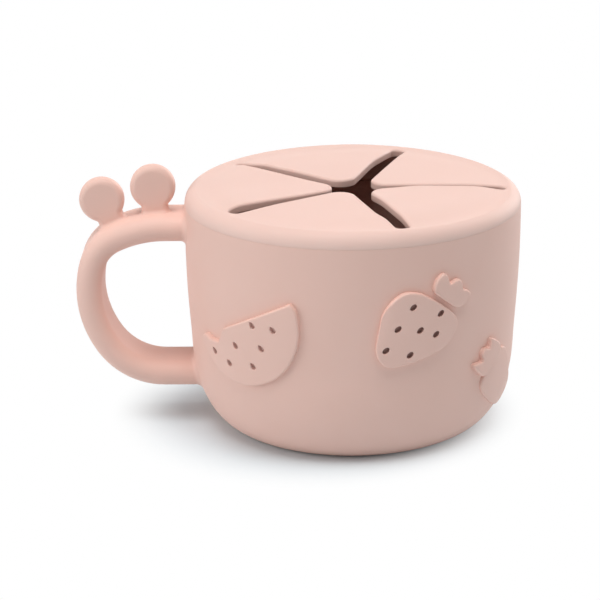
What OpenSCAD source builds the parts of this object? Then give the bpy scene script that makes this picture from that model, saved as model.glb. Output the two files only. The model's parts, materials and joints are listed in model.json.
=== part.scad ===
// Toddler snack cup in moulded silicone: a round cup with a handle and a press-in lid.
// The lid's five flaps bend at their roots, so a small hand can reach in without spilling.
// Millimetres. The cup stands on z = 0 on the z axis, and its handle points along -x.

/* [Cup] */
// Outside diameter at the rim
rim_d = 94; // [86:0.5:104]
// Height of the rim above the table
cup_h = 63; // [54:0.5:76]
// Outside diameter where the wall meets the rounded foot
waist_d = 90.4; // [84:0.2:94]
// Diameter of the flat underside
foot_d = 64.4; // [56:0.2:72]
// Height of the rounded foot
foot_h = 23.4; // [18:0.2:28]
// Outward bow of the wall between foot and rim
wall_bow = 0.45; // [0:0.05:0.8]
// Wall thickness
wall_t = 3; // [2.5:0.1:4]
// Floor thickness
floor_t = 3.5; // [3:0.1:5]

/* [Lid] */
// Height of the lid above the rim
lid_h = 5; // [4.5:0.1:7]
// Depth of the dished top below the lid's highest line
dish_depth = 0.8; // [0.2:0.1:1]
// Width of the slope that leads down into the dish
dish_slope_w = 1.6; // [1:0.1:2]
// Thickness of the flap membrane
membrane_t = 2.5; // [2:0.1:3]
// Depth of the plug ring below the rim
plug_depth = 6; // [5:0.5:9]
// Wall thickness of the plug ring
plug_t = 1.5; // [1.2:0.1:1.8]
// Height of each sealing rib on the plug
rib_h = 0.4; // [0.3:0.05:0.6]
// Width of each sealing rib at its root
rib_w = 1.2; // [1:0.1:1.6]
// Radial clearance between the sealing ribs and the cup's mouth
plug_gap = 0.1; // [0.05:0.01:0.2]

/* [Flaps] */
// Distance from the plug ring's inside to the slits' ends
slit_margin = 1; // [0.6:0.1:4]
// Width of the slits
slit_w = 3.6; // [3:0.1:4.4]
// Radius of the rounded flap tips
tip_r = 4.8; // [3.5:0.1:6]
// Running clearance round a flap's rounded root
root_gap = 0.15; // [0.1:0.01:0.25]

/* [Handle] */
// Drop from the rim to the upper bar's centre line
bar_drop = 6.3; // [6:0.1:12]
// Distance from the rim's outside to the start of the handle's bend
bend_gap = 5.2; // [3:0.1:7]
// Radius of the top arc
top_arc_r = 33; // [30:0.5:36]
// Turn of the top arc in degrees
top_arc_turn = 25.5; // [22:0.5:29]
// Radius of the upper corner
shoulder_r = 11.6; // [10:0.1:13]
// Turn of the upper corner in degrees
shoulder_turn = 49; // [45:0.5:53]
// Radius of the back of the handle
back_r = 28.4; // [26:0.1:31]
// Turn of the back of the handle in degrees
back_turn = 50; // [46:0.5:54]
// Radius of the lower corner
heel_r = 18.9; // [17:0.1:21]
// Thickness of the bar in the plane of the handle
bar_t = 7.2; // [6.4:0.1:8]
// Width of the bar across the handle
bar_w = 17.6; // [15:0.1:20]

/* [Ears] */
// Diameter of the ear discs
ear_d = 12.6; // [11:0.1:14]
// Thickness of the ear discs
ear_t = 4; // [3.5:0.1:5]
// Rounding of the discs' edges
ear_edge_r = 1.3; // [0.8:0.1:1.6]
// Height of the discs' centres above the bar's centre line
ear_lift = 10.8; // [10.2:0.1:11.6]
// Width of the necks under the discs
ear_neck_w = 7.4; // [6:0.1:9]
// Distance from the start of the top arc to the inner ear, along the bar's centre line
ear_start = 2.5; // [1.8:0.1:3.2]
// Distance between the ears, along the bar's centre line
ear_spacing = 11.2; // [10.6:0.1:11.6]

/* [Raised fruit] */
// Height of the raised figures above the wall
figure_h = 1; // [0.6:0.1:1.6]
// Depth of the seed marks in them
seed_depth = 0.5; // [0.3:0.05:0.6]
// Length of the seed marks
seed_l = 2.3; // [1.6:0.1:3]
// Width of the seed marks
seed_w = 1.2; // [0.8:0.1:1.6]
// Radius of the melon slice
melon_r = 20.4; // [18:0.1:22]
// Drop from the rim to the middle of the melon's cut edge
melon_drop = 24.5; // [21:0.5:29]
// Drop from the rim to the middle of the strawberry
berry_drop = 22.2; // [20:0.1:27]
// Height of the middle of the round fruit
round_fruit_z = 18; // [17:0.5:22]
// Grid step that the seeds, the bite, the strawberry and the round fruit are drawn on
fruit_grid = 1; // [0.85:0.01:1.1]

/* [Hidden] */

skin = "rosybrown";
light_skin = "mistyrose";

// One flap for each lid_flap node
flap_count = 5;
// Facets of a full turn
turn_steps = 120;
// Straight runs that draw the rounded foot and the bowed wall
foot_steps = 12;
wall_steps = 7;
// Straight runs that draw the lid's rounded edge and an ear's rounded edge
edge_steps = 10;
// Gap left where separately drawn pieces of one moulding meet
seam = 0.05;
// Reach of the tools that cut, past what they cut
cut = 1;

rim_r = rim_d / 2;
waist_r = waist_d / 2;
foot_r = foot_d / 2;
widest_r = max(rim_r, waist_r) + wall_bow;
mouth_r = rim_r - wall_t;
mouth_depth = plug_depth + 1;

// ---- Cup profile ----

// Wall points from the top of the foot up to the rim, moved outwards by grow
function wall_line(grow) = [for (i = [1:wall_steps])
    let (s = i / wall_steps)
    [waist_r + (rim_r - waist_r) * s + wall_bow * sin(180 * s) + grow,
     foot_h + (cup_h - foot_h) * s]];

// A quarter ellipse from its lowest point out to its side
function foot_line(inner_r, side_r, low_z, top_z) = [for (i = [0:foot_steps])
    let (a = 90 * i / foot_steps)
    [inner_r + (side_r - inner_r) * sin(a), top_z - (top_z - low_z) * cos(a)]];

function outside_line(grow) = concat(
    foot_line(foot_r, waist_r + grow, -grow, foot_h), wall_line(grow));

// The outside of the cup as one full solid, moved outwards by grow
module outside_solid(grow) {
    rotate_extrude($fn = turn_steps)
        polygon(concat([[0, -grow]], outside_line(grow), [[0, cup_h]]));
}

module cup_bowl() {
    inside_line = concat(
        foot_line(foot_r - wall_t, waist_r - wall_t, floor_t, foot_h),
        [for (p = wall_line(-wall_t)) if (p[1] < cup_h - mouth_depth) p]);
    color(skin)
        difference() {
            outside_solid(0);
            rotate_extrude($fn = turn_steps)
                polygon(concat([[0, floor_t]], inside_line,
                    [[mouth_r, cup_h - mouth_depth], [mouth_r, cup_h + cut], [0, cup_h + cut]]));
        }
}

// ---- Handle ----

// A place on the handle is [x, z] and a heading that turns from 0 (away from the cup)
// to 180 (back to the cup). The bend's centre lies on the inner side of the bar.
function inner_side(heading) = [sin(heading), -cos(heading)];
function arc_centre(start, heading, r) = start + r * inner_side(heading);
function arc_end(start, heading, r, turn) =
    arc_centre(start, heading, r) - r * inner_side(heading + turn);

bar_z = cup_h - bar_drop;
top_start = [-rim_r - bend_gap, bar_z];
shoulder_start = arc_end(top_start, 0, top_arc_r, top_arc_turn);
shoulder_heading = top_arc_turn;
back_start = arc_end(shoulder_start, shoulder_heading, shoulder_r, shoulder_turn);
back_heading = shoulder_heading + shoulder_turn;
heel_start = arc_end(back_start, back_heading, back_r, back_turn);
heel_heading = back_heading + back_turn;
heel_turn = 180 - heel_heading;
lower_start = arc_end(heel_start, heel_heading, heel_r, heel_turn);
// The bars start inside the cup and are cut off at the wall's outside
bar_root_x = -foot_r;

// Cross-section of the bar with fully rounded edges, as [outward, across] points
function bar_section(grow) =
    let (edge_r = bar_t / 2 + grow, middle = (bar_w - bar_t) / 2)
    [for (side = [1, -1], i = [0:edge_steps])
        let (a = 180 * i / edge_steps)
        [side * edge_r * cos(a), side * (middle + edge_r * sin(a))]];

// Places along one arc as [x, z, heading], without its start
bend_step = 5;
function arc_places(start, heading, r, turn) =
    let (n = ceil(turn / bend_step))
    [for (i = [1:n])
        let (p = arc_end(start, heading, r, turn * i / n))
        [p[0], p[1], heading + turn * i / n]];

bar_places = concat(
    [[bar_root_x, bar_z, 0], [top_start[0], top_start[1], 0]],
    arc_places(top_start, 0, top_arc_r, top_arc_turn),
    arc_places(shoulder_start, shoulder_heading, shoulder_r, shoulder_turn),
    arc_places(back_start, back_heading, back_r, back_turn),
    arc_places(heel_start, heel_heading, heel_r, heel_turn),
    [[bar_root_x, lower_start[1], 180]]);

// One closed skin through a section at each place
module handle_bar() {
    section = bar_section(0);
    n = len(section);
    last = len(bar_places) - 1;
    rings = [for (p = bar_places, q = section)
        let (out = -q[0] * inner_side(p[2]))
        [p[0] + out[0], q[1], p[1] + out[1]]];
    sides = [for (k = [0:last - 1], i = [0:n - 1])
        let (j = (i + 1) % n)
        [k * n + i, k * n + j, (k + 1) * n + j, (k + 1) * n + i]];
    ends = [[for (i = [0:n - 1]) n - 1 - i], [for (i = [0:n - 1]) last * n + i]];
    polyhedron(rings, concat(sides, ends));
}

module handle_loop() {
    color(skin)
        difference() {
            handle_bar();
            outside_solid(seam);
        }
}

// ---- Ears ----

// One flat disc on its neck, standing square on the top arc at the given distance along it
module ear(along) {
    turn = along / top_arc_r * 180 / PI;
    corner = ear_d / 2 - ear_edge_r;
    half_t = ear_t / 2 - ear_edge_r;
    rim_line = [for (side = [-1, 1], i = [0:edge_steps])
        let (a = 90 * i / edge_steps - (side < 0 ? 90 : 0))
        [corner + ear_edge_r * cos(a), side * half_t + ear_edge_r * sin(a)]];
    arc_mid = arc_centre(top_start, 0, top_arc_r);
    color(skin)
        difference() {
            translate([arc_mid[0], 0, arc_mid[1]])
                rotate([0, -turn, 0]) {
                    translate([0, 0, top_arc_r + ear_lift])
                        rotate([90, 0, 0])
                            rotate_extrude($fn = turn_steps)
                                polygon(concat([[0, -ear_t / 2]], rim_line, [[0, ear_t / 2]]));
                    translate([-ear_neck_w / 2, -ear_t / 2 + ear_edge_r / 2, top_arc_r])
                        cube([ear_neck_w, ear_t - ear_edge_r, ear_lift]);
                }
            // The top arc of the handle, carried on round under both necks
            translate([arc_mid[0], 0, arc_mid[1]])
                rotate([90, 0, 0])
                    rotate_extrude($fn = turn_steps)
                        translate([top_arc_r, 0])
                            polygon(bar_section(seam));
        }
}

module inner_ear() {
    ear(ear_start);
}

module outer_ear() {
    ear(ear_start + ear_spacing);
}

// ---- Raised fruit ----

melon_z = cup_h - melon_drop;
berry_z = cup_h - berry_drop;
// Places of the figures round the cup in degrees, 0 along +x
melon_turn = -132;
berry_turn = -67;
round_fruit_turn = -24;
back_melon_turn = 47;
back_berry_turn = 112;

// Points along a smooth closed curve through the given points
curve_steps = 3;
function curve_at(p, i, s) =
    let (n = len(p), a = p[(i + n - 1) % n], b = p[i], c = p[(i + 1) % n], d = p[(i + 2) % n])
    0.5 * (2 * b + s * (c - a) + s * s * (2 * a - 5 * b + 4 * c - d)
        + s * s * s * (3 * b - a - 3 * c + d));
function smooth_loop(p) = [for (i = [0:len(p) - 1], k = [0:curve_steps - 1])
    curve_at(p, i, k / curve_steps)];

// Bends a width measured round the wall onto the flat plane that touches the wall
function flat_x(u) = rim_r * sin(u / rim_r * 180 / PI);
function flat_points(p) = [for (q = p) [flat_x(q[0]), q[1]]];

// Drawn outlines pushed outwards from the cup's axis at the given turn and height
module outward_prism(turn, z, outlines) {
    rotate([0, 0, turn])
        translate([0, 0, z])
            rotate([90, 0, 90])
                linear_extrude(height = widest_r + figure_h + cut)
                    for (p = outlines)
                        polygon(flat_points(p));
}

// One raised figure with its seed marks, drops whose thin ends point at the given angle
module raised_figure(turn, z, outline, seeds = [], seed_angle = 0) {
    color(skin)
        difference() {
            intersection() {
                outward_prism(turn, z, [outline]);
                outside_solid(figure_h);
            }
            outside_solid(seam);
            difference() {
                outward_prism(turn, z, [for (s = seeds) seed_outline(s, seed_angle)]);
                outside_solid(figure_h - seed_depth);
            }
        }
}

seed_steps = 10;
function seed_outline(place, angle) = [for (i = [0:seed_steps - 1])
    let (a = 360 * i / seed_steps,
         x = seed_l / 2 * cos(a),
         y = seed_w / 2 * sin(a) * (1 - 0.4 * cos(a)))
    place + [x * cos(angle) - y * sin(angle), x * sin(angle) + y * cos(angle)]];

function tilted(p, angle) = [for (q = p)
    [q[0] * cos(angle) - q[1] * sin(angle), q[0] * sin(angle) + q[1] * cos(angle)]];
function scaled(p, k) = [for (q = p) k * q];

// Melon slice: a little more than half a disc hanging from its cut edge, with a bite
melon_tilt = 25.6;
melon_rise = 1.5 * fruit_grid;
melon_steps = 18;
melon_corner_a = asin(melon_rise / melon_r);
bite = scaled([[-13.6, 0], [-9.6, -3.6], [-5.7, 0]], fruit_grid);
melon_outline = tilted(concat(
    [for (i = [0:melon_steps])
        let (a = -melon_corner_a - (180 - 2 * melon_corner_a) * i / melon_steps)
        [melon_r * cos(a), melon_rise + melon_r * sin(a)]],
    bite), melon_tilt);
melon_seeds = tilted(scaled([[6.6, -2.9], [12.5, -5.4], [-2.4, -6], [6.3, -9], [-12.5, -5.4],
    [-7.7, -9.8], [1.1, -12.8]], fruit_grid), melon_tilt);

// Strawberry: a rounded triangle that narrows to the lower left, and its three-pointed crown
berry_outline = scaled(smooth_loop([[-4.2, 10.2], [3.2, 8], [10, 3], [12, -2.2], [8.2, -6],
    [0.8, -8.8], [-6.2, -10.8], [-10.6, -9.4], [-12.2, -5], [-10.8, 2.4], [-8.6, 8]]), fruit_grid);
berry_seeds = scaled([[-2.2, 5.9], [6, 3.2], [-6.4, 0.1], [0.2, -0.7], [5, -2.6], [-9.6, -5.6],
    [-2.6, -7.4]], fruit_grid);
berry_crown_outline = scaled(smooth_loop([[4.9, 8.9], [4.4, 12.4], [6.6, 14.6], [8.7, 12.1],
    [12, 12.1], [13.3, 8.9], [16.3, 7.3], [14.6, 5.2], [11.2, 4.6], [8.2, 6.6]]), fruit_grid);

// Round fruit with the same kind of crown at its upper left
round_fruit_outline = scaled(smooth_loop([[-11.4, 0.4], [-9.6, 2.7], [-5, 4.7], [1, 6.2],
    [7, 6], [11, 2.6], [11.4, -2.4], [7, -6.6], [1, -7.8], [-5, -6.2], [-9.6, -3.4]]), fruit_grid);
round_crown_outline = scaled(smooth_loop([[-9.8, 4.2], [-13.6, 5.6], [-16.2, 8.6], [-12.4, 8.9],
    [-12.4, 11.6], [-8.7, 11.4], [-8.4, 14], [-4.6, 12.3], [-2.8, 9.8], [-3.6, 7], [-6.8, 5.2]]),
    fruit_grid);

module melon_slice() {
    raised_figure(melon_turn, melon_z, melon_outline, melon_seeds, 90);
}

module back_melon_slice() {
    raised_figure(back_melon_turn, melon_z, melon_outline, melon_seeds, 90);
}

module strawberry() {
    raised_figure(berry_turn, berry_z, berry_outline, berry_seeds, 45);
}

module strawberry_crown() {
    raised_figure(berry_turn, berry_z, berry_crown_outline, [], 0);
}

module back_strawberry() {
    raised_figure(back_berry_turn, berry_z, berry_outline, berry_seeds, 45);
}

module back_strawberry_crown() {
    raised_figure(back_berry_turn, berry_z, berry_crown_outline, [], 0);
}

module round_fruit() {
    raised_figure(round_fruit_turn, round_fruit_z, round_fruit_outline, [], 0);
}

module round_fruit_crown() {
    raised_figure(round_fruit_turn, round_fruit_z, round_crown_outline, [], 0);
}

// ---- Lid ----

lid_top_z = cup_h + lid_h;
dish_z = lid_top_z - dish_depth;
membrane_z = dish_z - membrane_t;
plug_outer_r = mouth_r - plug_gap - rib_h;
plug_inner_r = plug_outer_r - plug_t;
// The rounded edge fills the lid's height above the rim
lid_edge_r = lid_h;

// A flap's root lies on the line between the round ends of two slits
flap_turn = 360 / flap_count;
half_turn = flap_turn / 2;
slit_centre_r = plug_inner_r - slit_margin - slit_w / 2;
root_x = slit_centre_r * cos(half_turn);
root_y = slit_centre_r * sin(half_turn);
root_r = membrane_t / 2;
root_z = membrane_z + root_r;

module lid_disc() {
    edge_line = [for (i = [0:edge_steps])
        let (a = 90 * i / edge_steps)
        [rim_r - lid_edge_r + lid_edge_r * cos(a), cup_h + lid_edge_r * sin(a)]];
    rib_line = [for (k = [2, 1])
        let (z = cup_h - plug_depth * k / 3)
        each [[plug_outer_r, z - rib_w / 2], [plug_outer_r + rib_h, z],
              [plug_outer_r, z + rib_w / 2]]];
    rotate_extrude($fn = turn_steps)
        polygon(concat(
            [[0, dish_z], [0, membrane_z], [plug_inner_r, membrane_z],
             [plug_inner_r, cup_h - plug_depth], [plug_outer_r, cup_h - plug_depth]],
            rib_line, [[plug_outer_r, cup_h]], edge_line,
            [[rim_r - lid_edge_r - dish_slope_w, dish_z]]));
}

module lid_ring() {
    hole_r = (root_x + root_r + root_gap) / cos(half_turn);
    color(light_skin)
        difference() {
            lid_disc();
            translate([0, 0, root_z])
                cylinder(r = slit_centre_r, h = root_r + cut, $fn = flap_count);
            translate([0, 0, membrane_z - cut])
                cylinder(r = hole_r, h = root_r + cut, $fn = flap_count);
            for (k = [0:flap_count - 1]) {
                rotate([0, 0, flap_turn * k])
                    translate([slit_centre_r, 0, membrane_z - cut])
                        cylinder(d = slit_w, h = membrane_t + 2 * cut, $fn = 48);
                rotate([0, 0, flap_turn * (k + 0.5)])
                    translate([root_x, root_y, root_z])
                        rotate([90, 0, 0])
                            cylinder(r = root_r + root_gap, h = 2 * root_y, $fn = 48);
            }
        }
}

// One flap with its rounded root, pointing from the given turn towards the middle
module lid_flap(turn) {
    side_y = root_y - slit_w / 2 / cos(half_turn);
    tip_x = (tip_r + slit_w / 2) / sin(half_turn);
    tip_sweep = 90 - half_turn;
    tip_steps = 12;
    outline = concat([[root_x, side_y]],
        [for (i = [0:tip_steps])
            let (a = 180 - tip_sweep + 2 * tip_sweep * i / tip_steps)
            [tip_x + tip_r * cos(a), tip_r * sin(a)]],
        [[root_x, -side_y]]);
    color(light_skin)
        rotate([0, 0, turn]) {
            translate([0, 0, membrane_z])
                linear_extrude(height = membrane_t)
                    polygon(outline);
            translate([root_x, side_y, root_z])
                rotate([90, 0, 0])
                    cylinder(r = root_r, h = 2 * side_y, $fn = 48);
        }
}

cup_bowl();
handle_loop();
inner_ear();
outer_ear();
melon_slice();
strawberry();
strawberry_crown();
round_fruit();
round_fruit_crown();
back_melon_slice();
back_strawberry();
back_strawberry_crown();
lid_ring();
lid_flap(half_turn);  // lid_flap_1
lid_flap(half_turn + flap_turn);  // lid_flap_2
lid_flap(half_turn + 2 * flap_turn);  // lid_flap_3
lid_flap(half_turn + 3 * flap_turn);  // lid_flap_4
lid_flap(half_turn + 4 * flap_turn);  // lid_flap_5
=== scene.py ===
# Toddler snack cup: two matte silicone mouldings, a cup with a loop handle and a press-in lid
# whose five flaps bend down to let a small hand in.
# The meshes are drawn in millimetres and turned to metres when each piece is finished.
import json
from math import asin, atan2, ceil, cos, degrees, hypot, pi, radians, sin, sqrt
import bpy
import bmesh
from mathutils import Matrix, Vector


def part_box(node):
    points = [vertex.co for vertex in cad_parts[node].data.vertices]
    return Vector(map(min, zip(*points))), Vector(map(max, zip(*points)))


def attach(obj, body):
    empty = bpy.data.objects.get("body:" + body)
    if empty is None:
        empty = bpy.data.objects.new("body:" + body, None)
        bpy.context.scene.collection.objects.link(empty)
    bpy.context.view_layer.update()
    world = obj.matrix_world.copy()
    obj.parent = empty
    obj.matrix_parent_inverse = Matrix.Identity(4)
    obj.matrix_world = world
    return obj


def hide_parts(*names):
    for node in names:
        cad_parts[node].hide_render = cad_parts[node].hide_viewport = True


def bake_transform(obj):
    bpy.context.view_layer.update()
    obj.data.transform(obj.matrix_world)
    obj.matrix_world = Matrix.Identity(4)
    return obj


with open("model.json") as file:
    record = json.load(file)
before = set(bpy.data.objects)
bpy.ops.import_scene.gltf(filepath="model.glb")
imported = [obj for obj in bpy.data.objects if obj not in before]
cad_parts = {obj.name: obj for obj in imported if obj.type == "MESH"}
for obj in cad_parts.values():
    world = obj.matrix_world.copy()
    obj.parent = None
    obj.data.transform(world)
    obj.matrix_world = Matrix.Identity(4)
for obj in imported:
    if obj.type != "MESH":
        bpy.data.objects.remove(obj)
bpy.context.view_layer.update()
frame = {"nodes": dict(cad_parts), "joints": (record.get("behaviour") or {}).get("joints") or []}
mm = 0.001
print("frame loaded:", len(frame["nodes"]), "nodes")


def smoothStep(t):
    t = min(max(t, 0.0), 1.0)
    return t * t * (3 - 2 * t)


def arcSteps(start, end, steps):
    return [radians(start + (end - start) * i / steps) for i in range(steps + 1)]


# A row of new vertices joined by edges
def startRow(bm, places, closed=True):
    row = [bm.verts.new(place) for place in places]
    for a, b in zip(row, row[1:] + row[:1] if closed else row[1:]):
        bm.edges.new((a, b))
    return row


# Extrudes a row into a new one and sets its vertices on the given places
def extrudeRow(bm, row, places, closed=True):
    pairs = zip(row, row[1:] + row[:1] if closed else row[1:])
    made = bmesh.ops.extrude_edge_only(bm, edges=[bm.edges.get(pair) for pair in pairs])["geom"]
    fresh = {v for v in made if isinstance(v, bmesh.types.BMVert)}
    newRow = []
    for vert, place in zip(row, places):
        twin = next(e.other_vert(vert) for e in vert.link_edges if e.other_vert(vert) in fresh)
        twin.co = place
        newRow.append(twin)
    return newRow


def extrudeRows(bm, row, rowsOfPlaces, closed=True):
    for places in rowsOfPlaces:
        row = extrudeRow(bm, row, places, closed)
    return row


# Fills the flat area inside the first closed row and outside the others
def fillFlat(bm, rows):
    edges = [bm.edges.get(pair) for row in rows for pair in zip(row, row[1:] + row[:1])]
    bmesh.ops.triangle_fill(bm, use_beauty=True, edges=edges)


# Cuts the whole mesh with parallel planes, so that it can be bent afterwards
def cutAcross(bm, direction, places):
    for place in places:
        bmesh.ops.bisect_plane(bm, geom=bm.verts[:] + bm.edges[:] + bm.faces[:], dist=1e-4,
                               plane_co=Vector(direction) * place, plane_no=Vector(direction))


# Outward normals of a flat closed outline, drawn anticlockwise
def outlineNormals(points):
    normals = []
    for i, point in enumerate(points):
        ahead = (points[(i + 1) % len(points)] - point).normalized()
        behind = (point - points[i - 1]).normalized()
        along = (ahead + behind).normalized()
        stretch = 1 / max(along.dot(ahead), 0.6)
        normals.append(Vector((along.y, -along.x)) * stretch)
    return normals


# Merges, turns the faces outwards, marks the creases and makes the object. Where facesIn says that
# a face looks into the cup, it takes the second material, a painted shade
def finishPiece(bm, name, material, nodes, body=None, creaseAngle=42, facesIn=None, paintedShadeMaterial=None):
    bmesh.ops.remove_doubles(bm, verts=bm.verts[:], dist=0.002)
    bmesh.ops.dissolve_degenerate(bm, edges=bm.edges[:], dist=0.0005)
    bmesh.ops.recalc_face_normals(bm, faces=bm.faces[:])
    for vert in bm.verts:
        vert.co.x += leanAt(vert.co.z)
    bmesh.ops.scale(bm, verts=bm.verts[:], vec=(mm, mm, mm))
    for edge in bm.edges:
        edge.smooth = len(edge.link_faces) == 2 and edge.calc_face_angle(0) < radians(creaseAngle)
    for face in bm.faces:
        face.smooth = True
        if facesIn and facesIn(face.calc_center_median() / mm, face.normal):
            face.material_index = 1
    openEdges = sum(1 for e in bm.edges if len(e.link_faces) != 2)
    mesh = bpy.data.meshes.new(name)
    bm.to_mesh(mesh)
    bm.free()
    piece = bpy.data.objects.new(name, mesh)
    bpy.context.scene.collection.objects.link(piece)
    mesh.materials.append(material)
    if paintedShadeMaterial:
        mesh.materials.append(paintedShadeMaterial)
    weighted = piece.modifiers.new("EvenShading", "WEIGHTED_NORMAL")
    weighted.keep_sharp = True
    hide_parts(*nodes)
    if body:
        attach(piece, body)
    print("made", name, len(mesh.polygons), "faces,", openEdges, "open edges")
    return piece


def hexColour(text):
    channels = [int(text[i:i + 2], 16) / 255 for i in (1, 3, 5)]
    return [c / 12.92 if c <= 0.04045 else ((c + 0.055) / 1.055) ** 2.4 for c in channels] + [1.0]


# Adds one shader node with its settings, and sets or links its inputs
def addNode(tree, kind, inputs={}, **settings):
    node = tree.nodes.new("ShaderNode" + kind)
    for key, value in settings.items():
        setattr(node, key, value)
    for key, value in inputs.items():
        if isinstance(value, bpy.types.NodeSocket):
            tree.links.new(value, node.inputs[key])
        else:
            node.inputs[key].default_value = value
    return node


silicone = {
    "ior": 1.41,
    "roughness": (0.52, 0.62),
    "scatterShare": 0.05,       # silicone lets a little light in under its skin
    "scatterDepth": 1.0,        # mm
    "cloudSize": 14.0,          # mm, very faint clouds of pigment
    "grainSize": 0.5,           # mm; the real blasted mould leaves about 0.05, too fine to show
    "grainHeight": 0.004,       # mm
    "shadeReach": 75.0,         # mm within which other surfaces close a place in
    "shadeOpen": (0.05, 0.3),   # open share of the surroundings at full shade, and at none
}


# Silicone rubber, pressed in a fine-blasted steel mould: an even matte skin with soft highlights.
# A painted shade, where one is given, takes over where little light gets in. It isn't the rubber's own
# colour: it paints in the darkness inside the closed cup
def mouldedSilicone(name, lightHex, darkHex, shadeHex=None):
    material = bpy.data.materials.new(name)
    material.use_nodes = True
    tree = material.node_tree
    tree.nodes.clear()
    place = addNode(tree, "TexCoord").outputs["Object"]
    clouds = addNode(tree, "TexNoise", {
        "Vector": place, "Scale": 1 / (silicone["cloudSize"] * mm), "Detail": 2.0, "Roughness": 0.5})
    grain = addNode(tree, "TexNoise", {
        "Vector": place, "Scale": 1 / (silicone["grainSize"] * mm), "Detail": 3.0, "Roughness": 0.6})
    # 6 and 7 are the Mix node's two colours
    colour = addNode(tree, "Mix", {
        "Factor": clouds.outputs["Fac"], 6: hexColour(darkHex), 7: hexColour(lightHex)}, data_type="RGBA")
    # Painted shade: the shade colour darkens the skin where other surfaces close it in
    if shadeHex:
        around = addNode(tree, "AmbientOcclusion", {"Distance": silicone["shadeReach"] * mm}, samples=8)
        full, none = silicone["shadeOpen"]
        openShare = addNode(tree, "MapRange", {
            "Value": around.outputs["AO"], "From Min": full, "From Max": none})
        colour = addNode(tree, "Mix", {
            "Factor": openShare.outputs["Result"], 6: hexColour(shadeHex), 7: colour.outputs[2]},
            data_type="RGBA")
    low, high = silicone["roughness"]
    rough = addNode(tree, "MapRange", {
        "Value": grain.outputs["Fac"], "From Min": 0.3, "From Max": 0.7, "To Min": low, "To Max": high})
    bump = addNode(tree, "Bump", {
        "Height": grain.outputs["Fac"], "Strength": 1.0, "Distance": silicone["grainHeight"] * mm})
    skin = addNode(tree, "BsdfPrincipled", {
        "Base Color": colour.outputs[2], "Roughness": rough.outputs["Result"],
        "Normal": bump.outputs["Normal"], "IOR": silicone["ior"],
        "Subsurface Weight": silicone["scatterShare"], "Subsurface Radius": (1.0, 0.45, 0.35),
        "Subsurface Scale": silicone["scatterDepth"] * mm})
    addNode(tree, "OutputMaterial", {"Surface": skin.outputs["BSDF"]})
    return material


cupHex, lidHex, insidePaintedShade = ("#ecc4b7", "#e9c0b2"), ("#e8c6bb", "#e5c2b6"), "#824434"
cupSilicone = mouldedSilicone("mouldedSiliconeCup", *cupHex)
lidSilicone = mouldedSilicone("mouldedSiliconeLid", *lidHex)
# The inner faces of the cup and lid take these, with shade painted into their colour inside the closed cup
cupInsidePaintedShade = mouldedSilicone("mouldedSiliconeCupInsidePaintedShade", *cupHex, insidePaintedShade)
lidInsidePaintedShade = mouldedSilicone("mouldedSiliconeLidInsidePaintedShade", *lidHex, insidePaintedShade)
# The real seed pits look darker than pits of this depth turn out, so the rest of their shade is
# painted into these colours
berryPitPaintedShade = mouldedSilicone("mouldedSiliconeBerryPitPaintedShade", "#a37e75", "#9d786f")
melonPitPaintedShade = mouldedSilicone("mouldedSiliconeMelonPitPaintedShade", "#dcb8ae", "#d6b2a8")
print("materials made")


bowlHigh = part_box("cup_bowl")[1]
rimHeight = bowlHigh.z / mm

cup = {
    "rimInset": 0.25,         # the soft rim is drawn in a little and stands as far to the right
    "leanFoot": 30.0,         # the lean to the right starts at this height
    "waistRadius": 45.15,     # where the wall meets the rounded foot
    "footRadius": 32.2,       # the flat underside
    "footHeight": 23.4,
    "wallBow": 0.51,          # outward bow of the wall
    "kinkReach": 6.0,         # the wall flows into the foot over this height, each way
    "wallThickness": 3.0,
    "floorThickness": 3.5,
    "mouthRadius": 44.0,
    "mouthDepth": 7.0,        # straight mouth that the plug sits in
    "mouthRound": 0.2,        # where the mouth ends and the inner wall starts
    "rimRound": 0.1,
    "turnSteps": 216,
}
rimRadius = bowlHigh.x / mm - cup["rimInset"]


# Shift to the right at a height
def leanAt(z):
    return cup["rimInset"] * smoothStep((z - cup["leanFoot"]) / (rimHeight - cup["leanFoot"]))


# Outer radius of the cup at a height
def wallRadius(z):
    foot, waist, top = cup["footRadius"], cup["waistRadius"], cup["footHeight"]
    run = (z - top) / (rimHeight - top)
    if run < 0:
        radius = foot + (waist - foot) * sqrt(max(0.0, 1 - (1 - max(z, 0.0) / top) ** 2))
    else:
        radius = waist + (rimRadius - waist) * run + cup["wallBow"] * sin(pi * run)
    slope = (rimRadius - waist + cup["wallBow"] * pi) / (rimHeight - top)
    reach = cup["kinkReach"]
    return radius + slope * max(0.0, reach - abs(z - top)) ** 2 / (4 * reach)


# Outward slope of the wall at a height, as a unit (radius, z) pair
def wallNormal(z):
    step = 0.05
    low, high = max(z - step, 0.0), z + step
    rise = Vector((wallRadius(high) - wallRadius(low), high - low)).normalized()
    return Vector((rise.y, -rise.x))


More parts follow.
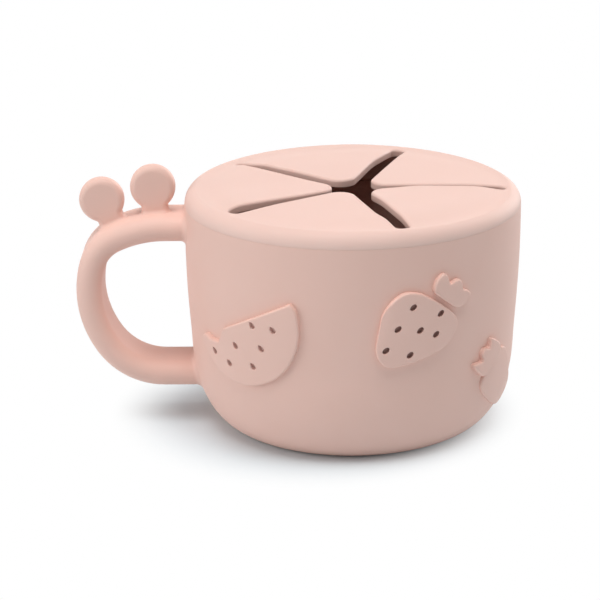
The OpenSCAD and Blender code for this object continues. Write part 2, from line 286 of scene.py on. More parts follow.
def makeCupBowl():
    t, floor, mouthRadius = cup["wallThickness"], cup["floorThickness"], cup["mouthRadius"]
    foot, waist, top = cup["footRadius"], cup["waistRadius"], cup["footHeight"]
    edge = cup["rimRound"]
    mouthFloor = rimHeight - cup["mouthDepth"]
    outside = [(0, 0), (foot * 0.5, 0)]
    outside += [(wallRadius(top * (1 - cos(a))), top * (1 - cos(a))) for a in arcSteps(0, 65, 20)]
    low = outside[-1][1]
    outside += [(wallRadius(z), z) for z in (low + (rimHeight - edge - low) * i / 30 for i in range(1, 31))]
    outside += [(rimRadius - edge + edge * cos(a), rimHeight - edge + edge * sin(a))
                for a in arcSteps(20, 90, 4)]
    inside = [(mouthRadius + edge, rimHeight), (mouthRadius, rimHeight - edge),
              (mouthRadius, mouthFloor + cup["mouthRound"]), (mouthRadius - cup["mouthRound"], mouthFloor)]
    inside += [(wallRadius(z) - t, z) for z in
               (mouthFloor - (mouthFloor - top) * i / 16 for i in range(17))]
    inside += [(foot - t + (waist - foot) * cos(a), top - (top - floor) * sin(a))
               for a in arcSteps(6, 90, 16)]
    inside += [(foot * 0.5, floor), (0, floor)]
    bm = bmesh.new()
    row = startRow(bm, [(r, 0, z) for r, z in outside + inside], closed=False)
    bmesh.ops.spin(bm, geom=row + bm.edges[:], cent=(0, 0, 0), axis=(0, 0, 1), dvec=(0, 0, 0),
                   angle=2 * pi, steps=cup["turnSteps"], use_merge=True, use_duplicate=False)

    # Faces between the floor and the rim, on the inner side of the wall's middle, which take the painted
    # shade
    def facesIn(place, normal):
        reach = hypot(place.x - leanAt(place.z), place.y)
        return floor - 0.1 < place.z < rimHeight - 0.3 and reach < wallRadius(place.z) - t / 2

    finishPiece(bm, "bowlMoulding", cupSilicone, ["cup_bowl"], "cup",
                facesIn=facesIn, paintedShadeMaterial=cupInsidePaintedShade)


makeCupBowl()


handle = {
    "barThickness": 7.2,
    "barWidth": 17.6,
    "barDrop": 6.3,           # from the rim to the upper bar's centre line
    "bendGap": 5.45,          # from the rim's outside to the first bend
    "arcs": [(33.0, 25.5), (11.6, 49.0), (28.4, 50.0), (18.9, 55.5)],    # radius and turn in degrees
    "edgeSteps": 14,
    "ringSpacing": 1.6,
    "filletRadius": 1.4,      # where the bars run into the wall
    "filletSink": 0.25,       # the fillet starts this far inside the wall
}
barTop = Vector((-rimRadius - handle["bendGap"], rimHeight - handle["barDrop"]))
topArcRadius = handle["arcs"][0][0]
topArcCentre = barTop - Vector((0, topArcRadius))


# Places along the bar as (x, z, heading); the heading turns from 0, away from the cup, to 180
def barPlaces():
    place, heading = barTop.copy(), 0.0
    places = [(place.x, place.y, heading)]
    for radius, turn in handle["arcs"]:
        centre = place + radius * Vector((sin(radians(heading)), -cos(radians(heading))))
        steps = ceil(radius * radians(turn) / handle["ringSpacing"])
        for i in range(1, steps + 1):
            a = radians(heading + turn * i / steps)
            at = centre - radius * Vector((sin(a), -cos(a)))
            places.append((at.x, at.y, degrees(a)))
        place, heading = at, heading + turn
    return places


# Cross-section of the bar as (outward, across) pairs, grown all round
def barSection(grow=0.0):
    edge = handle["barThickness"] / 2 + grow
    middle = (handle["barWidth"] - handle["barThickness"]) / 2
    n = handle["edgeSteps"]
    return [(side * edge * cos(pi * i / n), side * (middle + edge * sin(pi * i / n)))
            for side in (1, -1) for i in range(n + 1)]


# A ring of the bar that follows the cup's wall at a distance from it
def wallRing(z, heading, grow, gap):
    up = cos(radians(heading))
    ring = []
    for out, across in barSection(grow):
        height = z + up * out
        ring.append((-sqrt(wallRadius(height) ** 2 - across ** 2) - gap, across, height))
    return ring


def makeHandle():
    places = barPlaces()
    fillet = handle["filletRadius"]
    flare = [(fillet * (1 - cos(a)), fillet * (1 - sin(a))) for a in arcSteps(90, 0, 6)]
    flare[0] = (fillet, -handle["filletSink"])
    rings = [wallRing(places[0][1], 0, grow, gap) for grow, gap in flare]
    for x, z, heading in places:
        a = radians(heading)
        rings.append([(x - out * sin(a), across, z + out * cos(a)) for out, across in barSection()])
    rings += [wallRing(places[-1][1], 180, grow, gap) for grow, gap in reversed(flare)]
    bm = bmesh.new()
    first = startRow(bm, rings[0])
    last = extrudeRows(bm, first, rings[1:])
    for ring in (first, last):
        bmesh.ops.contextual_create(bm, geom=ring)
    finishPiece(bm, "loopHandle", cupSilicone, ["handle_loop"], "cup")


makeHandle()


ears = {
    "discRadius": 6.3,
    "thickness": 4.6,
    "edgeRound": 1.7,
    "lift": 10.8,             # of the disc's centre above the bar's centre line
    "neckHalfWidth": 3.7,
    "neckFillet": 0.8,        # between neck and disc
    "footFillet": 1.1,        # between neck and bar
    "sink": 0.8,              # the neck reaches this and the edge's rounding deep into the bar
    "drop": 0.04,             # the whole ear is lowered by this much
    "bendHeight": 4.0,        # the neck's foot follows the curved bar, fading out over this height
    "cutSpacing": 0.8,        # of the cuts that let it do so
    "along": {"inner_ear": 2.5, "outer_ear": 13.7},    # from the start of the top arc
}


# Outline of an ear, anticlockwise, as (along the bar, out from the arc's centre) pairs
def earOutline():
    disc, neck = ears["discRadius"], ears["neckHalfWidth"]
    inner, foot = ears["neckFillet"], ears["footFillet"]
    barOut = topArcRadius + handle["barThickness"] / 2
    centre = topArcRadius + ears["lift"]
    side = neck + inner
    drop = sqrt((disc + inner) ** 2 - side ** 2)
    lean = atan2(drop, side)
    right = [(neck + foot, barOut - ears["edgeRound"] - ears["sink"])]
    right += [(neck + foot - foot * sin(a), barOut + foot - foot * cos(a)) for a in arcSteps(0, 90, 7)]
    right += [(side - inner * cos(a), centre - drop + inner * sin(a))
              for a in arcSteps(0, 90 - degrees(pi / 2 - lean), 5)]
    right += [(disc * cos(a), centre + disc * sin(a)) for a in arcSteps(-degrees(lean), 90, 26)][1:]
    return [Vector(p) for p in right] + [Vector((-x, z)) for x, z in reversed(right[:-1])]


def makeEar(node):
    turn = ears["along"][node] / topArcRadius
    half, edge, foot = ears["thickness"] / 2, ears["edgeRound"], ears["footFillet"]
    barOut = topArcRadius + handle["barThickness"] / 2
    outline = earOutline()
    normals = outlineNormals(outline)
    for i in (0, -1):
        normals[i] = Vector((1 if i == 0 else -1, 0))
    # Rounded edge from the front face to the back face, as (inset, across) pairs
    edgeLine = [(edge * (1 - cos(a)), side * (half - edge + edge * sin(a)))
                for side, span in ((-1, (90, 0)), (1, (0, 90))) for a in arcSteps(*span, 7)]
    rings = [[(p.x - n.x * inset, across, p.y - n.y * inset) for p, n in zip(outline, normals)]
             for inset, across in edgeLine]
    bm = bmesh.new()
    first = startRow(bm, rings[0])
    last = extrudeRows(bm, first, rings[1:])
    for ring in (first, last):
        fillFlat(bm, [ring])
    cutAcross(bm, (0, 0, 1), [barOut + foot * (1 - cos(a)) for a in arcSteps(0, 90, 7)])
    cutAcross(bm, (0, 0, 1), [barOut + foot + ears["cutSpacing"] * i for i in range(1, 4)])
    for vert in bm.verts:
        above = max(vert.co.z - barOut, 0.0)
        spread = foot - sqrt(max(0.0, foot ** 2 - max(0.0, foot - above) ** 2))
        edgeShare = smoothStep((abs(vert.co.y) - half + edge) / edge)
        vert.co.y += spread * edgeShare * (1 if vert.co.y > 0 else -1)
        follow = 1 - smoothStep(above / ears["bendHeight"])
        vert.co.z -= ears["drop"] + vert.co.x ** 2 / (2 * barOut) * follow
    across = Vector((0, 1, 0))
    outward = Vector((-sin(turn), 0, cos(turn)))
    stand = Matrix((Vector((cos(turn), 0, sin(turn))), across, outward)).transposed().to_4x4()
    stand.translation = Vector((topArcCentre.x, 0, topArcCentre.y))
    bmesh.ops.transform(bm, matrix=stand, verts=bm.verts[:])
    finishPiece(bm, node.replace("_ear", "EarDisc"), cupSilicone, [node], "cup")


for node in ears["along"]:
    makeEar(node)


fruit = {
    "height": 1.5,            # of the figures above the wall
    "roundHeight": 0.8,       # the round fruit's body is lower
    "edgeRound": 0.55,
    "sink": 0.5,              # how far the figures reach into the wall
    "boxGap": 0.05,           # they stay this far inside the cup's widest part
    "seedLength": 2.1,
    "seedWidth": 1.5,
    "seedDepth": 1.0,
    "seedRim": [(1.16, 0.0), (1.04, 0.06), (1.0, 0.2)],    # share of its size, and depth
    "seedFloor": 0.88,        # share of its size at the bottom
    "curveSteps": 4,
    "cutSpacing": (1.5, 1.7),    # cuts that let a figure bend round the wall, across and up
    "melonRadius": 18.7,
    "melonTilt": 26.3,        # degrees
    "melonMiddle": (1.8, 1.2),    # of the rind's arc, from the middle of the cut edge
    "melonRind": (-9, -174),  # degrees along that arc
    "melonTips": (19.8, -17.4),    # ends of the cut edge
    "melonCut": 0.3,          # height of the cut edge
    "melonSeedTurn": 131,     # degrees
    "melonSeedThinning": 0.35,
    "berrySeedTurn": 43,
    "melonDrop": 24.5,        # from the rim to the figure's middle
    "berryDrop": 22.65,
    "roundMiddle": 17.4,      # height above the table
    "roundCrownDrop": 0.4,    # of its crown under that
    "melonsAt": {"melon_slice": -132, "back_melon_slice": 47},    # degrees round the cup
    "berriesAt": {"strawberry": -67.3, "back_strawberry": 112},
    "roundAt": {"round_fruit": -24, "round_fruit_crown": -23.6},
}

# Outlines in mm, across and up, round the middle of each figure
berryBody = [(-11.3, 1.2), (-10.6, 4.6), (-9, 7.3), (-7.1, 9.2), (-4.8, 10.3), (-2.1, 10.2), (0.7, 9.2),
             (5.4, 6.1), (9.5, 2.6), (10.7, 0.4), (10.4, -2), (7.7, -5.9), (2.6, -8.1), (-3.7, -9.8),
             (-8.2, -10.4), (-11, -8.6), (-12.2, -5)]
berryCrown = [(3.3, 9.7), (3.7, 12.1), (4.9, 13.7), (6.5, 14.3), (7.5, 13), (8.1, 11.2), (9.3, 11.7),
              (11.1, 11.9), (12, 10.6), (12.3, 9), (13.9, 8.3), (14.9, 7.3), (14.4, 6), (12.6, 4.4),
              (10.2, 4.2), (7.8, 5.8), (5.3, 7.8)]
berrySeeds = [(-2.6, 6.3), (5.3, 3.5), (-6.6, 0.6), (-0.5, -0.4), (4.1, -2.2), (-9.6, -5.2), (-3.1, -7.1)]
roundBody = [(-3.5, 9.2), (-6.7, 6.6), (-9.5, 5.2), (-11.2, 4), (-12.4, 2), (-11.7, -0.4), (-8.6, -3.5),
             (-1.1, -8.1), (4.5, -9.4), (8.6, -7.2), (7.6, -3), (4.4, 1.5), (2.6, 5.2), (0.6, 8.2),
             (-1.4, 9.4)]
roundCrown = [(-13, 4.6), (-15.5, 6.5), (-17.1, 8.9), (-14.9, 8.9), (-13.5, 9.4), (-13.9, 11.2),
              (-12.8, 12.5), (-10.8, 12.2), (-10.3, 13.4), (-9.9, 14.8), (-6.5, 12.9), (-4.9, 10.6),
              (-5.6, 8.6), (-8.4, 6.4), (-10.8, 5)]
melonSeeds = [(6.2, 1.5), (12.5, 1.2), (0.1, -5.6), (8.7, -4.7), (-8.6, -9.4), (-2.7, -11.4), (5.7, -10.4)]
melonBite = [(-14.4, 0.7), (-12.3, -1.2), (-9.0, -2.7), (-5.0, 0.3)]


# A smooth closed curve through the given points
def smoothLoop(points):
    p = [Vector(q) for q in points]
    n, steps = len(p), fruit["curveSteps"]
    loop = []
    for i in range(n):
        a, b, c, d = p[i - 1], p[i], p[(i + 1) % n], p[(i + 2) % n]
        for k in range(steps):
            s = k / steps
            loop.append(0.5 * (2 * b + s * (c - a) + s * s * (2 * a - 5 * b + 4 * c - d)
                               + s ** 3 * (3 * b - a - 3 * c + d)))
    return loop


def melonOutline():
    radius, (middle, rise) = fruit["melonRadius"], fruit["melonMiddle"]
    (right, left), cut = fruit["melonTips"], fruit["melonCut"]
    rind = [(middle + radius * cos(a), rise + radius * sin(a)) for a in arcSteps(*fruit["melonRind"], 48)]
    return turned([(right, cut)] + rind + [(left, cut)] + melonBite, fruit["melonTilt"])


def turned(points, angle):
    turn = Matrix.Rotation(radians(angle), 2)
    return [turn @ Vector(p) for p in points]


# An oval, or a drop whose thin end points along the angle
def seedOutline(centre, angle, thinning, scale):
    length, width = fruit["seedLength"] * scale, fruit["seedWidth"] * scale
    points = [(length / 2 * cos(a), width / 2 * sin(a) * (1 - thinning * cos(a)))
              for a in arcSteps(0, 360, 16)[:-1]]
    return [Vector(centre) + p for p in turned(points, angle)]


# Drawn anticlockwise whatever way the points are listed
def anticlockwise(points):
    area = sum(points[i - 1].cross(p) for i, p in enumerate(points))
    return points if area > 0 else list(reversed(points))


# Azimuth in degrees round the cup, middle in mm above the table
def makeFigure(node, azimuth, middle, outline, height=fruit["height"], seeds=[], seedAngle=0, thinning=0,
               pitPaintedShade=None):
    edge = fruit["edgeRound"]
    outline = anticlockwise(outline)
    normals = outlineNormals(outline)
    edgeLine = [(0, -fruit["sink"]), (0, height - edge)]
    edgeLine += [(edge * (1 - cos(a)), height - edge + edge * sin(a)) for a in arcSteps(22.5, 90, 3)]
    rows = [[(p.x - n.x * inset, p.y - n.y * inset, h) for p, n in zip(outline, normals)]
            for inset, h in edgeLine]
    bm = bmesh.new()
    bottom = startRow(bm, rows[0])
    top = extrudeRows(bm, bottom, rows[1:])
    fillFlat(bm, [bottom])
    topRows = [top]
    for seed in seeds:
        loops = [[(p.x, p.y, height - depth) for p in seedOutline(seed, seedAngle, thinning, scale)]
                 for scale, depth in fruit["seedRim"] + [(fruit["seedFloor"], fruit["seedDepth"])]]
        topRows.append(startRow(bm, loops[0]))
        rim = extrudeRows(bm, topRows[-1], loops[1:3])
        # The pit's deepest wall and floor take the second material, a painted shade
        before = set(bm.faces)
        fillFlat(bm, [extrudeRow(bm, rim, loops[3])])
        for face in set(bm.faces) - before:
            face.material_index = 1
    fillFlat(bm, topRows)
    widths = [v.co.x for v in bm.verts]
    heights = [v.co.y for v in bm.verts]
    for direction, spans, gap in (((1, 0, 0), widths, fruit["cutSpacing"][0]),
                                  ((0, 1, 0), heights, fruit["cutSpacing"][1])):
        cutAcross(bm, direction, [gap * i for i in range(ceil(min(spans) / gap), ceil(max(spans) / gap))])
    for vert in bm.verts:
        z = middle + vert.co.y
        radius, normal = wallRadius(z), wallNormal(z)
        around = radians(azimuth) + asin(rimRadius * sin(vert.co.x / rimRadius) / radius)
        widest = bowlHigh.x / mm - fruit["boxGap"]
        out = min(radius + normal.x * vert.co.z, widest / abs(sin(around)))
        vert.co = (out * cos(around), out * sin(around), z + normal.y * vert.co.z)
    name = "raised" + "".join(word.capitalize() for word in node.split("_"))
    figure = finishPiece(bm, name, cupSilicone, [node], "cup")
    # Its pits take a painted shade as their second material
    if pitPaintedShade:
        figure.data.materials.append(pitPaintedShade)


for node, azimuth in fruit["melonsAt"].items():
    makeFigure(node, azimuth, rimHeight - fruit["melonDrop"], melonOutline(), seeds=melonSeeds,
               seedAngle=fruit["melonSeedTurn"], thinning=fruit["melonSeedThinning"],
               pitPaintedShade=melonPitPaintedShade)
for node, azimuth in fruit["berriesAt"].items():
    makeFigure(node, azimuth, rimHeight - fruit["berryDrop"], smoothLoop(berryBody), seeds=berrySeeds,
               seedAngle=fruit["berrySeedTurn"], pitPaintedShade=berryPitPaintedShade)
    makeFigure(node + "_crown", azimuth, rimHeight - fruit["berryDrop"], smoothLoop(berryCrown))
makeFigure("round_fruit", fruit["roundAt"]["round_fruit"], fruit["roundMiddle"], smoothLoop(roundBody),
           height=fruit["roundHeight"])
makeFigure("round_fruit_crown", fruit["roundAt"]["round_fruit_crown"],
           fruit["roundMiddle"] - fruit["roundCrownDrop"], smoothLoop(roundCrown))


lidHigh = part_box("lid_ring")[1]
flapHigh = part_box("lid_flap_1")[1]
hinge = next(j for j in frame["joints"] if j["child"] == "flap_1")
flapCount = 5
halfTurn = pi / flapCount

lid = {
    "edgeWidth": 3.5,         # rounded outer edge
    "edgeFoot": 0.1,          # rounding at the parting line
    "dishWidth": 2.6,         # the top sinks from its crest to the flaps over this width
    "crestSettle": 0.8,       # the soft top has settled this far below the height it was moulded at
    "skinSettle": 0.35,       # and the flaps this far
    "lean": 0.8,              # it sits a little lower on the right
    "creepMargin": 0.4,       # the creep ends this far outside the slits
    "changeOver": 8.2,        # degrees over which the ring's creep goes from one flap to the next
    "plugRadius": 43.5,
    "plugInside": 42.0,
    "plugDepth": 6.0,
    "plugRound": 0.4,
    "ribHeight": 0.4,
    "ribWidth": 1.2,
}
slit = {
    "halfWidth": 1.9,
    "skinThickness": 2.4,
    "topRound": 0.8,          # rounded upper edges of the slits and flaps
    "underRound": 0.3,
    "tipRadius": 4.5,
    "bend": (1.2, -3.0),      # a flap bends from outside its root to inside it
    "acrossSteps": 24,
    "sideSteps": 26,
    "tipSteps": 9,
}
starShift = (0.8, 0.017)      # the star has crept to the right, and more so on the right
shiftFade = (41.0, 4.0)       # the drift fades out from this radius, over this length
tipShift = {2: -0.9, 4: -0.9}    # the tips of two flaps have crept sideways
tipFade = 8.0                 # from the seam inwards, over this length
# How each flap has crept from flat: the height that it bulges to, the share of its length that the
# bulge rises over, how far its tip drops from there, and where along its length the drop starts
flapCreep = {1: (0.45, 0.3, 0.2, 0.5), 2: (0.9, 0.3, 0.6, 0.5), 3: (1.0, 0.17, 1.0, 0.1),
             4: (0.35, 0.3, 0.0, 0.5), 5: (1.15, 0.3, 0.85, 0.65)}

crestHeight = lidHigh.z / mm - lid["crestSettle"]
membraneTop = flapHigh.z / mm - lid["skinSettle"]
membraneUnder = membraneTop - slit["skinThickness"]
crestRadius = rimRadius - lid["edgeWidth"]
rootX = hypot(hinge["pos_m"][0], hinge["pos_m"][1]) / mm
slitCentre = rootX / cos(halfTurn)
slitEnd = slitCentre + slit["halfWidth"] + slit["topRound"]
creepEnd = slitEnd + lid["creepMargin"]
# The seam between ring and flap runs where the rounded slit edge ends
seamX = rootX + (slit["halfWidth"] + slit["topRound"]) * sin(halfTurn)
seamY = slitCentre * sin(halfTurn) - (slit["halfWidth"] + slit["topRound"]) * cos(halfTurn)
tipX = (slit["tipRadius"] + slit["halfWidth"]) / sin(halfTurn)


def lidTopAt(x, y):
    start = crestRadius - lid["dishWidth"]
    return membraneTop + (crestHeight - membraneTop) * smoothStep((hypot(x, y) - start) / lid["dishWidth"])


# Height that flap k has crept at a distance from the lid's middle
def creepAt(k, reach):
    bulge, rise, drop, dropStart = flapCreep[k]
    run = (creepEnd - reach) / (creepEnd - tipX + slit["tipRadius"])
    return bulge * smoothStep(run / rise) - drop * smoothStep((run - dropStart) / (1 - dropStart))


# The ring follows the flaps on both sides of a slit, and changes over from one to the other at its end
def ringCreepAt(x, y):
    turns = atan2(y, x) / (2 * halfTurn)
    nearest = round(turns)
    over = smoothStep(degrees((turns - nearest) * 2 * halfTurn) / lid["changeOver"] + 0.5)
    below, above = (nearest - 1) % flapCount + 1, nearest % flapCount + 1
    reach = hypot(x, y)
    return creepAt(below, reach) * (1 - over) + creepAt(above, reach) * over


# Lets the soft top creep and lean; below the parting line nothing moves
def settleTop(bm, creep, sideways=0.0):
    for vert in bm.verts:
        x, y, z = vert.co
        share = min((z - rimHeight) / (crestHeight - rimHeight), 1.0)
        if share > 0:
            reach = hypot(x, y)
            if reach < creepEnd:
                vert.co.z += creep(x, y)
            fade = 1 - smoothStep((reach - shiftFade[0]) / shiftFade[1])
            vert.co.x += (starShift[0] + starShift[1] * x) * fade
            vert.co.x += sideways * smoothStep((seamX - reach) / tipFade)
            vert.co.z -= lid["lean"] * share * max(x, 0.0) / rimRadius


# The rounded wall of a slit, from the top skin down to the under skin:
# distance into the silicone, and depth below the top or height above the underside
def slitWall():
    top, under = slit["topRound"], slit["underRound"]
    wall = [(top * (1 - sin(a)), "top", top * (1 - cos(a))) for a in arcSteps(0, 90, 7)]
    wall += [(under * (1 - cos(a)), "under", under * (1 - sin(a))) for a in arcSteps(0, 90, 3)]
    return wall + [(top, "under", 0.0)]


def skinPoint(x, y, side, depth):
    if side == "top":
        return Vector((x, y, lidTopAt(x, y) - depth))
    return Vector((x, y, membraneUnder + depth))


# Points along the seam of one flap in its own axes, from its -y end to its +y end
def seamPoints():
    n = slit["acrossSteps"]
    return [(seamX, seamY * (2 * j / n - 1)) for j in range(n + 1)]


# The line round the +y half of a flap from the seam to the tip, moved in from its wall
def flapSide(inset):
    inward = Vector((sin(halfTurn), -cos(halfTurn)))
    start = Vector((slitCentre * cos(halfTurn), slitCentre * sin(halfTurn))) + inward * slit["halfWidth"]
    tip = Vector((tipX, 0))
    end = tip - inward * slit["tipRadius"]
    n = slit["sideSteps"]
    line = [start.lerp(end, (i / n)) + inward * inset for i in range(n)]
    radius = slit["tipRadius"] - inset
    line += [tip + radius * Vector((cos(a), sin(a)))
             for a in arcSteps(90 + degrees(halfTurn), 180, slit["tipSteps"])]
    return line


def turnedPlace(place, angle):
    return Matrix.Rotation(angle, 3, "Z") @ place


def makeLidRing():
    wall = slitWall()
    flapTurn = 2 * halfTurn
    arcs = arcSteps(-90, 90, 16)

    # The inner line of the ring: each flap's seam, then the round end of the next slit
    def innerLine(side):
        line = []
        for k in range(flapCount):
            middle = halfTurn + flapTurn * k
            line += [turnedPlace(skinPoint(x, y, side, 0), middle) for x, y in seamPoints()]
            radius = slit["halfWidth"] + slit["topRound"]
            line += [turnedPlace(skinPoint(slitCentre + radius * cos(a), radius * sin(a), side, 0),
                                 flapTurn * (k + 1)) for a in arcs[1:-1]]
        return line

    topLine, underLine = innerLine("top"), innerLine("under")
    azimuths = [atan2(p.y, p.x) for p in topLine]

    def circleAt(radius, z):
        return [Vector((radius * cos(a), radius * sin(a), z)) for a in azimuths]

    rows = []
    for share in (0.2, 0.4, 0.6, 0.8, 1.0):
        row = []
        for point, a in zip(topLine, azimuths):
            reach = hypot(point.x, point.y)
            reach += (crestRadius + 0.1 - reach) * share
            row.append(Vector((reach * cos(a), reach * sin(a), lidTopAt(reach, 0))))
        rows.append(row)
    wide, high, foot = lid["edgeWidth"], crestHeight - rimHeight, lid["edgeFoot"]
    rows += [circleAt(crestRadius + wide * cos(a), rimHeight + high * sin(a)) for a in arcSteps(84, 4, 16)]
    rows += [circleAt(rimRadius - foot + foot * cos(a), rimHeight + foot + foot * sin(a))
             for a in arcSteps(0, -90, 4)]
    plug, hollow, low = lid["plugRadius"], lid["plugInside"], rimHeight - lid["plugDepth"]
    soft = lid["plugRound"]
    rows.append(circleAt(plug, rimHeight))
    for share in (1 / 3, 2 / 3):
        z = rimHeight - lid["plugDepth"] * share
        rows += [circleAt(plug, z + lid["ribWidth"] / 2), circleAt(plug + lid["ribHeight"], z),
                 circleAt(plug, z - lid["ribWidth"] / 2)]
    rows += [circleAt(plug, low + soft), circleAt(plug - soft, low), circleAt(hollow + soft, low),
             circleAt(hollow, low + soft), circleAt(hollow, membraneUnder - soft),
             circleAt(hollow - soft, membraneUnder)]
    for share in (0.5, 1.0):
        rows.append([a.lerp(b, share) for a, b in zip(circleAt(hollow - soft, membraneUnder), underLine)])
    bm = bmesh.new()
    top = startRow(bm, topLine)
    extrudeRows(bm, top, rows)
    # The walls of the slits' ends and the hidden faces under the seams close the ring
    perFlap = len(top) // flapCount
    chord = slit["acrossSteps"]
    for k in range(flapCount):
        turn = flapTurn * (k + 1)
        ends = [top[(k * perFlap + chord + i) % len(top)] for i in range(len(arcs))]
        walls = []
        for inset, side, depth in wall[1:]:
            radius = slit["halfWidth"] + inset
            places = [skinPoint(slitCentre + radius * cos(a), radius * sin(a), side, depth) for a in arcs]
            walls.append([turnedPlace(place, turn) for place in places])
        extrudeRows(bm, ends, walls, closed=False)
        seam = top[k * perFlap:k * perFlap + chord + 1]
        middle = halfTurn + flapTurn * k
        extrudeRow(bm, seam, [turnedPlace(skinPoint(x, y, "under", 0), middle) for x, y in seamPoints()],
                   closed=False)
    closeSeams(bm)
    settleTop(bm, ringCreepAt)

    # The plug's inner side and the underside of the skin, which take the painted shade
    def facesIn(place, normal):
        return hypot(place.x, place.y) < (plug + hollow) / 2 and (normal.z < -0.5 or place.z < rimHeight)

    finishPiece(bm, "lidMoulding", lidSilicone, ["lid_ring"], "lid",
                facesIn=facesIn, paintedShadeMaterial=lidInsidePaintedShade)


# Merges the rows and closes the small end faces at the seams
def closeSeams(bm):
    bmesh.ops.remove_doubles(bm, verts=bm.verts[:], dist=0.002)
    gaps = [e for e in bm.edges if len(e.link_faces) == 1]
    bmesh.ops.holes_fill(bm, edges=gaps, sides=0)


def makeFlap(k):
    rows = []
    for inset, side, depth in slitWall():
        half = flapSide(inset)
        line = half + [Vector((p.x, -p.y)) for p in reversed(half[:-1])]
        rows.append([skinPoint(p.x, p.y, side, depth) for p in line])
    bm = bmesh.new()
    first = startRow(bm, rows[0], closed=False)
    last = extrudeRows(bm, first, rows[1:], closed=False)
    # The two skins run across from one side of the flap to the other
    n = slit["acrossSteps"]
    for row, side in ((first, "top"), (last, "under")):
        half = row[:len(row) // 2 + 1]
        across = [[skinPoint(v.co.x, v.co.y * (1 - 2 * j / n), side, 0) for v in half]
                  for j in range(1, n + 1)]
        extrudeRows(bm, half, across, closed=False)
    bmesh.ops.remove_doubles(bm, verts=bm.verts[:], dist=0.002)
    seam = sorted((v for v in bm.verts if abs(v.co.x - seamX) < 1e-4 and v.co.z > membraneTop - 0.2),
                  key=lambda v: v.co.y)
    extrudeRow(bm, seam, [(v.co.x, v.co.y, membraneUnder) for v in seam], closed=False)
    closeSeams(bm)
    turn = halfTurn * (2 * k - 1)
    bmesh.ops.rotate(bm, cent=(0, 0, 0), matrix=Matrix.Rotation(turn, 3, "Z"), verts=bm.verts[:])
    settleTop(bm, lambda x, y: creepAt(k, hypot(x, y)), tipShift.get(k, 0.0))
    # The flap's underside takes the painted shade
    flap = finishPiece(bm, "lidFlap%d" % k, lidSilicone, ["lid_flap_%d" % k],
                       facesIn=lambda place, normal: normal.z < -0.5, paintedShadeMaterial=lidInsidePaintedShade)
    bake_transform(flap)


makeLidRing()
for k in range(1, flapCount + 1):
    makeFlap(k)


studio = {
    "floorSize": 4.0,             # m
    "floorHex": "#e2edf2",
    "glowCentre": (-0.010, 0.002, 0.0),    # m; the paper whitens round this place
    "glowStart": 0.037,           # m from there; inside it the paper is only what the lamps make it
    "glowEnd": 0.060,
    "worldStrength": 0.27,
    "lamps": {                    # place in m, size in m, power in W
        "overheadLamp": ((0.0, -0.2, 1.08), 0.9, 8.7),
        "leftLamp": ((-1.05, -0.32, 0.4), 0.8, 4.1),
        "rightLamp": ((0.72, 0.8, 0.4), 0.8, 5.5),
    },
}


# 1 for the rays that show a surface, 0 for those that light others with it
def seenDirectly(tree):
    rays = addNode(tree, "LightPath")
    direct = addNode(tree, "Math", {0: rays.outputs["Is Camera Ray"], 1: rays.outputs["Is Glossy Ray"]},
                     operation="MAXIMUM")
    return addNode(tree, "Math", {0: direct.outputs[0], 1: rays.outputs["Is Transmission Ray"]},
                   operation="MAXIMUM").outputs[0]


def makeFloor():
    bm = bmesh.new()
    bmesh.ops.create_grid(bm, x_segments=1, y_segments=1, size=studio["floorSize"] / 2)
    mesh = bpy.data.meshes.new("paperFloor")
    bm.to_mesh(mesh)
    bm.free()
    floor = bpy.data.objects.new("paperFloor", mesh)
    bpy.context.scene.collection.objects.link(floor)
    material = bpy.data.materials.new("whitePaper")
    material.use_nodes = True
    tree = material.node_tree
    tree.nodes.clear()
    paper = addNode(tree, "BsdfDiffuse", {"Color": hexColour(studio["floorHex"])})
    white = addNode(tree, "Emission", {"Color": (1, 1, 1, 1), "Strength": 1.0})
    place = addNode(tree, "TexCoord").outputs["Object"]
    away = addNode(tree, "VectorMath", {0: place, 1: studio["glowCentre"]}, operation="DISTANCE")
    spread = addNode(tree, "MapRange", {
        "Value": away.outputs["Value"], "From Min": studio["glowStart"],
        "From Max": studio["glowEnd"]}, interpolation_type="SMOOTHSTEP")
    share = addNode(tree, "Math", {0: spread.outputs["Result"], 1: seenDirectly(tree)}, operation="MULTIPLY")
    mixed = addNode(tree, "MixShader", {0: share.outputs[0], 1: paper.outputs[0], 2: white.outputs[0]})
    addNode(tree, "OutputMaterial", {"Surface": mixed.outputs[0]})
    mesh.materials.append(material)


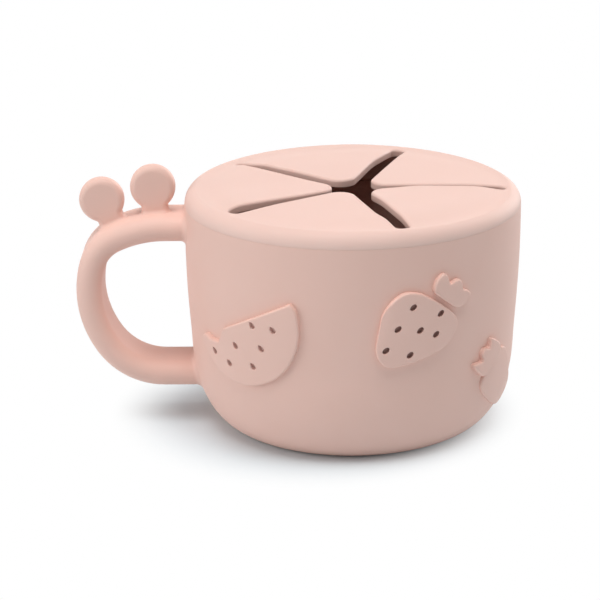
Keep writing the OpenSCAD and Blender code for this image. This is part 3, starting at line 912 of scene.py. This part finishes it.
def makeWorld():
    world = bpy.data.worlds.new("studio")
    bpy.context.scene.world = world
    world.use_nodes = True
    tree = world.node_tree
    tree.nodes.clear()
    strength = addNode(tree, "MapRange", {
        "Value": seenDirectly(tree), "To Min": studio["worldStrength"], "To Max": 1.0})
    sky = addNode(tree, "Background", {"Color": (1, 1, 1, 1), "Strength": strength.outputs["Result"]})
    addNode(tree, "OutputWorld", {"Surface": sky.outputs[0]})


# A round lamp that points at the cup's middle
def addLamp(name, place, size, power, target=(0, 0, 0.03)):
    lamp = bpy.data.lights.new(name, "AREA")
    lamp.shape = "DISK"
    lamp.size = size
    lamp.energy = power
    holder = bpy.data.objects.new(name, lamp)
    holder.location = place
    holder.rotation_euler = (Vector(target) - Vector(place)).to_track_quat("-Z", "Y").to_euler()
    bpy.context.scene.collection.objects.link(holder)


camera = {
    "distance": 705.0,        # mm from the middle of the cup
    "elevation": 18.66,       # degrees
    "middle": (0, 0, 33.9),
    "lens": 149.985,          # mm
    "sensor": 36.0,           # mm
    "roll": 0.348,            # degrees
    "aim": (52.21, -0.44),    # pixels from the picture's middle to the cup's axis, right and down
    "pictureWidth": 600,
}


def makeCamera():
    data = bpy.data.cameras.new("camera")
    data.sensor_width = camera["sensor"]
    data.lens = camera["lens"]
    data.clip_end = 10
    holder = bpy.data.objects.new("camera", data)
    tilt = radians(camera["elevation"])
    forward = Vector((0, cos(tilt), -sin(tilt)))
    up = Vector((0, sin(tilt), cos(tilt)))
    right = Vector((1, 0, 0))
    roll = radians(camera["roll"])
    dx, dy = -camera["aim"][0], -camera["aim"][1]
    across = dx * cos(roll) + dy * sin(roll)
    down = -dx * sin(roll) + dy * cos(roll)
    focal = camera["lens"] / camera["sensor"] * camera["pictureWidth"]
    look = (forward + right * across / focal - up * down / focal).normalized()
    sideways = look.cross(up).normalized()
    upright = sideways.cross(look)
    sideways, upright = (sideways * cos(roll) - upright * sin(roll),
                         upright * cos(roll) + sideways * sin(roll))
    place = Matrix((sideways, upright, -look)).transposed().to_4x4()
    place.translation = (Vector(camera["middle"]) - forward * camera["distance"]) * mm
    holder.matrix_world = place
    bpy.context.scene.collection.objects.link(holder)
    bpy.context.scene.camera = holder


makeFloor()
makeWorld()
for lampName, (place, size, power) in studio["lamps"].items():
    addLamp(lampName, place, size, power)
makeCamera()
bpy.context.scene.view_settings.view_transform = "Standard"
print("stage set")
